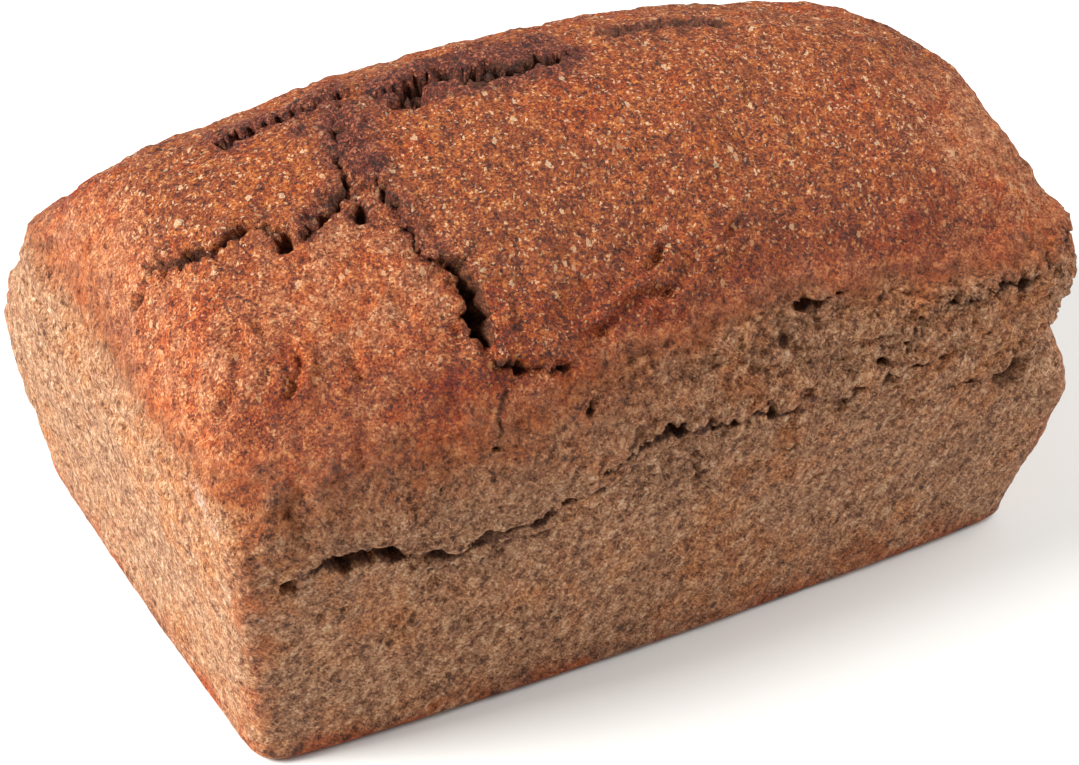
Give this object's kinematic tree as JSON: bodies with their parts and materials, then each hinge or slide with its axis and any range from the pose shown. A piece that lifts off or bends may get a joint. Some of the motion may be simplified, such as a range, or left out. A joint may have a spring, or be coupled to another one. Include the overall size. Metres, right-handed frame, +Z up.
{
  "type": "rye loaf",
  "caption": "Tin-baked rye loaf with a flat bottom, leaning tin walls, a torn rim line and a tall cracked domed crust.",
  "frame": {"origin": "middle of the flat bottom, on the surface the loaf stands on", "axes": "+X along the loaf, +Y across it towards the back, +Z up"},
  "size_m": [0.2222, 0.1272, 0.1161],
  "materials": {
    "crust": "dry, dull baked rye crust, reddish brown on top, paler grey brown on the walls"
  },
  "bodies": {
    "root": {"loaf": "crust"}
  },
  "joints": []
}
